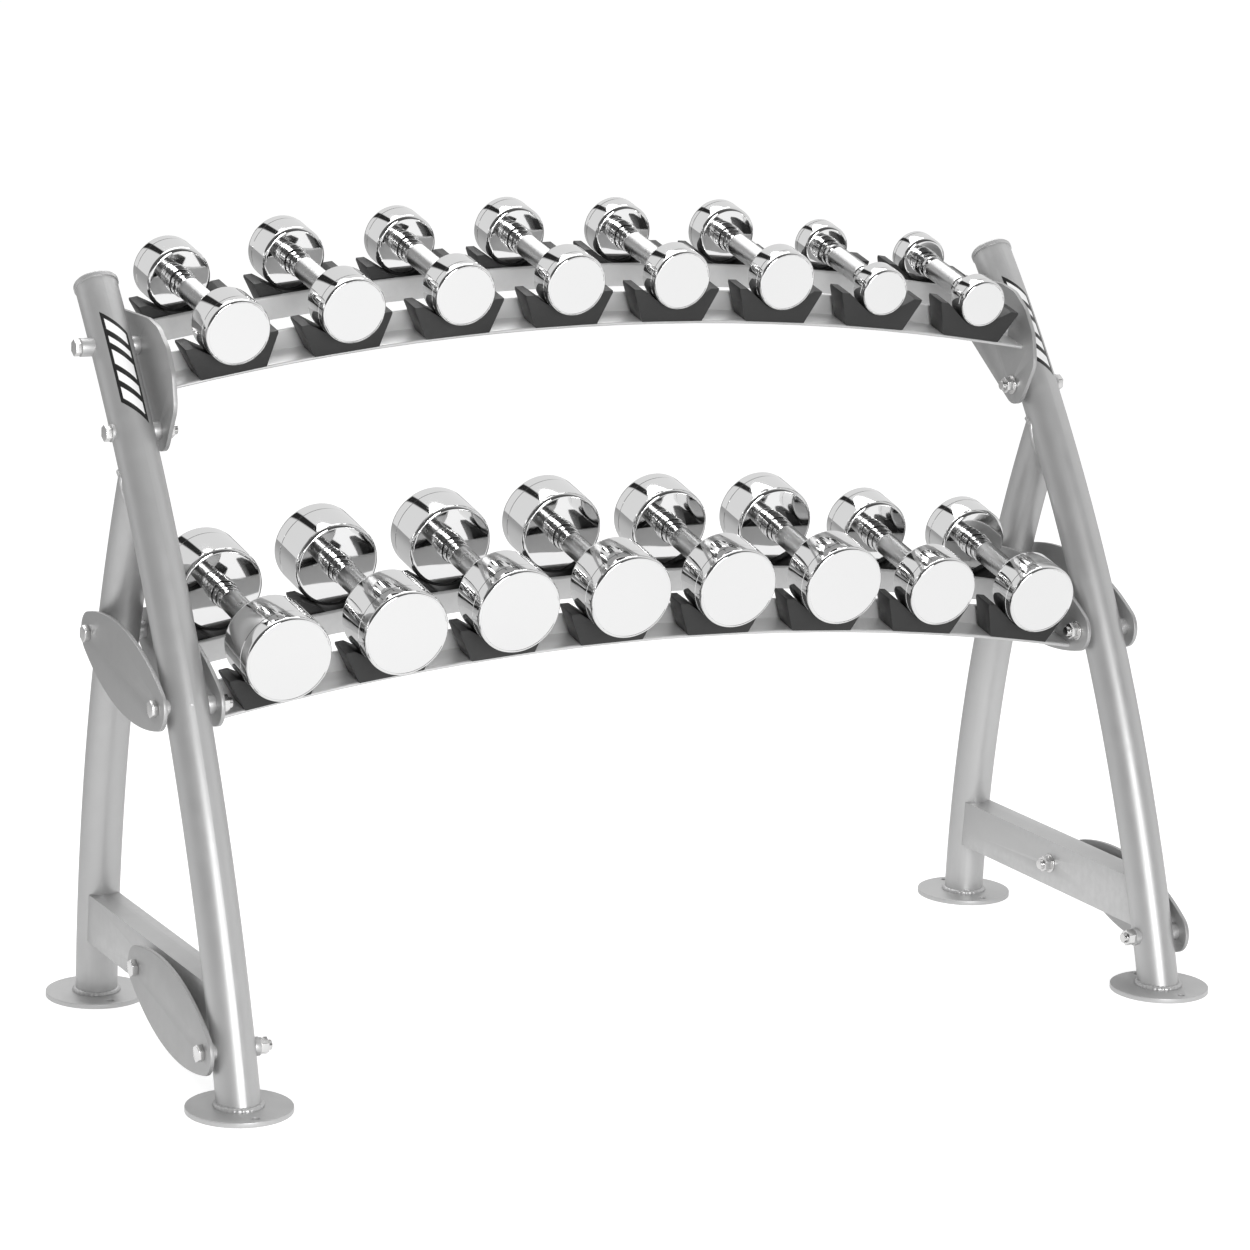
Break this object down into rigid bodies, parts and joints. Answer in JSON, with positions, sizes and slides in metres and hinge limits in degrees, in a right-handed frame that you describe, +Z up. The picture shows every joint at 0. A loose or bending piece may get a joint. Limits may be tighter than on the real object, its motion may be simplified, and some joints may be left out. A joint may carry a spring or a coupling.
{
  "type": "dumbbell rack",
  "caption": "Tubular steel two-tier dumbbell rack with arched saddle trays, holding round-headed chrome dumbbells that lift off their moulded saddles.",
  "frame": {"origin": "on the floor at the middle of the four feet", "axes": "+X to the right along the trays, +Y to the rear, +Z up"},
  "size_m": [1.359, 0.5928, 0.9573],
  "materials": {
    "frame_paint": "satin",
    "plate_paint": "satin",
    "rail_paint": "satin",
    "saddle_plastic": "matte moulded",
    "dark_screw": "dark oxide",
    "zinc": "bright zinc plate",
    "head_chrome": "mirror",
    "grip_chrome": "knurled"
  },
  "bodies": {
    "frame": {"upright_left": "frame_paint", "upright_right": "frame_paint", "rear_leg_left": "frame_paint", "rear_leg_right": "frame_paint", "cross_tube_left": "frame_paint", "cross_tube_right": "frame_paint", "end_cap_left": "frame_paint", "end_cap_right": "frame_paint", "bottom_plate_left": "plate_paint", "bottom_plate_right": "plate_paint", "middle_plate_left": "plate_paint", "middle_plate_right": "plate_paint", "foot_plates": "frame_paint", "upper_end_plate_left": "plate_paint", "upper_end_plate_right": "plate_paint", "lower_end_plate_left": "plate_paint", "lower_end_plate_right": "plate_paint", "upper_front_rail": "rail_paint", "upper_rear_rail": "rail_paint", "lower_front_rail": "rail_paint", "lower_rear_rail": "rail_paint", "upper_saddles": "saddle_plastic", "lower_saddles": "saddle_plastic", "saddle_screws": "dark_screw", "frame_bolts": "zinc", "frame_nuts": "zinc", "frame_washers": "zinc", "spacer_cups": "frame_paint"},
    "upper_dumbbell_1": {"upper_dumbbell_1_heads": "head_chrome", "upper_dumbbell_1_handle": "grip_chrome"},
    "upper_dumbbell_2": {"upper_dumbbell_2_heads": "head_chrome", "upper_dumbbell_2_handle": "grip_chrome"},
    "upper_dumbbell_3": {"upper_dumbbell_3_heads": "head_chrome", "upper_dumbbell_3_handle": "grip_chrome"},
    "upper_dumbbell_4": {"upper_dumbbell_4_heads": "head_chrome", "upper_dumbbell_4_handle": "grip_chrome"},
    "upper_dumbbell_5": {"upper_dumbbell_5_heads": "head_chrome", "upper_dumbbell_5_handle": "grip_chrome"},
    "upper_dumbbell_6": {"upper_dumbbell_6_heads": "head_chrome", "upper_dumbbell_6_handle": "grip_chrome"},
    "upper_dumbbell_7": {"upper_dumbbell_7_heads": "head_chrome", "upper_dumbbell_7_handle": "grip_chrome"},
    "upper_dumbbell_8": {"upper_dumbbell_8_heads": "head_chrome", "upper_dumbbell_8_handle": "grip_chrome"},
    "lower_dumbbell_1": {"lower_dumbbell_1_heads": "head_chrome", "lower_dumbbell_1_handle": "grip_chrome"},
    "lower_dumbbell_2": {"lower_dumbbell_2_heads": "head_chrome", "lower_dumbbell_2_handle": "grip_chrome"},
    "lower_dumbbell_3": {"lower_dumbbell_3_heads": "head_chrome", "lower_dumbbell_3_handle": "grip_chrome"},
    "lower_dumbbell_4": {"lower_dumbbell_4_heads": "head_chrome", "lower_dumbbell_4_handle": "grip_chrome"},
    "lower_dumbbell_5": {"lower_dumbbell_5_heads": "head_chrome", "lower_dumbbell_5_handle": "grip_chrome"},
    "lower_dumbbell_6": {"lower_dumbbell_6_heads": "head_chrome", "lower_dumbbell_6_handle": "grip_chrome"},
    "lower_dumbbell_7": {"lower_dumbbell_7_heads": "head_chrome", "lower_dumbbell_7_handle": "grip_chrome"},
    "lower_dumbbell_8": {"lower_dumbbell_8_heads": "head_chrome", "lower_dumbbell_8_handle": "grip_chrome"}
  },
  "joints": [
    {"name": "upper_dumbbell_1_lift", "type": "slide", "parent": "frame", "child": "upper_dumbbell_1", "axis": [-0.1531, -0.2164, 0.9642], "range_m": [0, 0.12]},
    {"name": "upper_dumbbell_2_lift", "type": "slide", "parent": "frame", "child": "upper_dumbbell_2", "axis": [-0.1096, -0.2164, 0.9701], "range_m": [0, 0.12]},
    {"name": "upper_dumbbell_3_lift", "type": "slide", "parent": "frame", "child": "upper_dumbbell_3", "axis": [-0.0658, -0.2164, 0.9741], "range_m": [0, 0.12]},
    {"name": "upper_dumbbell_4_lift", "type": "slide", "parent": "frame", "child": "upper_dumbbell_4", "axis": [-0.022, -0.2164, 0.976], "range_m": [0, 0.12]},
    {"name": "upper_dumbbell_5_lift", "type": "slide", "parent": "frame", "child": "upper_dumbbell_5", "axis": [0.022, -0.2164, 0.976], "range_m": [0, 0.12]},
    {"name": "upper_dumbbell_6_lift", "type": "slide", "parent": "frame", "child": "upper_dumbbell_6", "axis": [0.0658, -0.2164, 0.9741], "range_m": [0, 0.12]},
    {"name": "upper_dumbbell_7_lift", "type": "slide", "parent": "frame", "child": "upper_dumbbell_7", "axis": [0.1096, -0.2164, 0.9701], "range_m": [0, 0.12]},
    {"name": "upper_dumbbell_8_lift", "type": "slide", "parent": "frame", "child": "upper_dumbbell_8", "axis": [0.1531, -0.2164, 0.9642], "range_m": [0, 0.12]},
    {"name": "lower_dumbbell_1_lift", "type": "slide", "parent": "frame", "child": "lower_dumbbell_1", "axis": [-0.1531, -0.2164, 0.9642], "range_m": [0, 0.12]},
    {"name": "lower_dumbbell_2_lift", "type": "slide", "parent": "frame", "child": "lower_dumbbell_2", "axis": [-0.1096, -0.2164, 0.9701], "range_m": [0, 0.12]},
    {"name": "lower_dumbbell_3_lift", "type": "slide", "parent": "frame", "child": "lower_dumbbell_3", "axis": [-0.0658, -0.2164, 0.9741], "range_m": [0, 0.12]},
    {"name": "lower_dumbbell_4_lift", "type": "slide", "parent": "frame", "child": "lower_dumbbell_4", "axis": [-0.022, -0.2164, 0.976], "range_m": [0, 0.12]},
    {"name": "lower_dumbbell_5_lift", "type": "slide", "parent": "frame", "child": "lower_dumbbell_5", "axis": [0.022, -0.2164, 0.976], "range_m": [0, 0.12]},
    {"name": "lower_dumbbell_6_lift", "type": "slide", "parent": "frame", "child": "lower_dumbbell_6", "axis": [0.0658, -0.2164, 0.9741], "range_m": [0, 0.12]},
    {"name": "lower_dumbbell_7_lift", "type": "slide", "parent": "frame", "child": "lower_dumbbell_7", "axis": [0.1096, -0.2164, 0.9701], "range_m": [0, 0.12]},
    {"name": "lower_dumbbell_8_lift", "type": "slide", "parent": "frame", "child": "lower_dumbbell_8", "axis": [0.1531, -0.2164, 0.9642], "range_m": [0, 0.12]}
  ]
}
